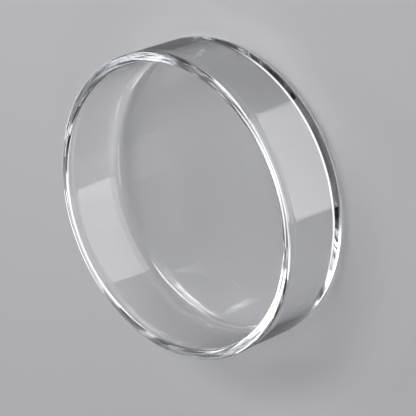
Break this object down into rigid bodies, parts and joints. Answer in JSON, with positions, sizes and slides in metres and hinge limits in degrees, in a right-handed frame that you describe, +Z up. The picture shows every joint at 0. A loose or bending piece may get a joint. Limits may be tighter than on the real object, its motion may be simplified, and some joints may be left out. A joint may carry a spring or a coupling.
{
  "type": "crystallizing dish",
  "caption": "Low round clear-glass dish with a flat bottom, straight wall, rounded heel and fire-polished rim, for evaporating and crystallizing solutions.",
  "frame": {"origin": "centre of the circle that the dish stands on, on its axis, at the plane of the foot ring", "axes": "+Z up along the dish's axis and out of its mouth; X and Y lie across it in any direction, because it is round"},
  "size_m": [0.08, 0.08, 0.021],
  "materials": {
    "glass": "clear, colourless, fire-polished borosilicate glass"
  },
  "bodies": {
    "root": {"dish": "glass"}
  },
  "joints": []
}
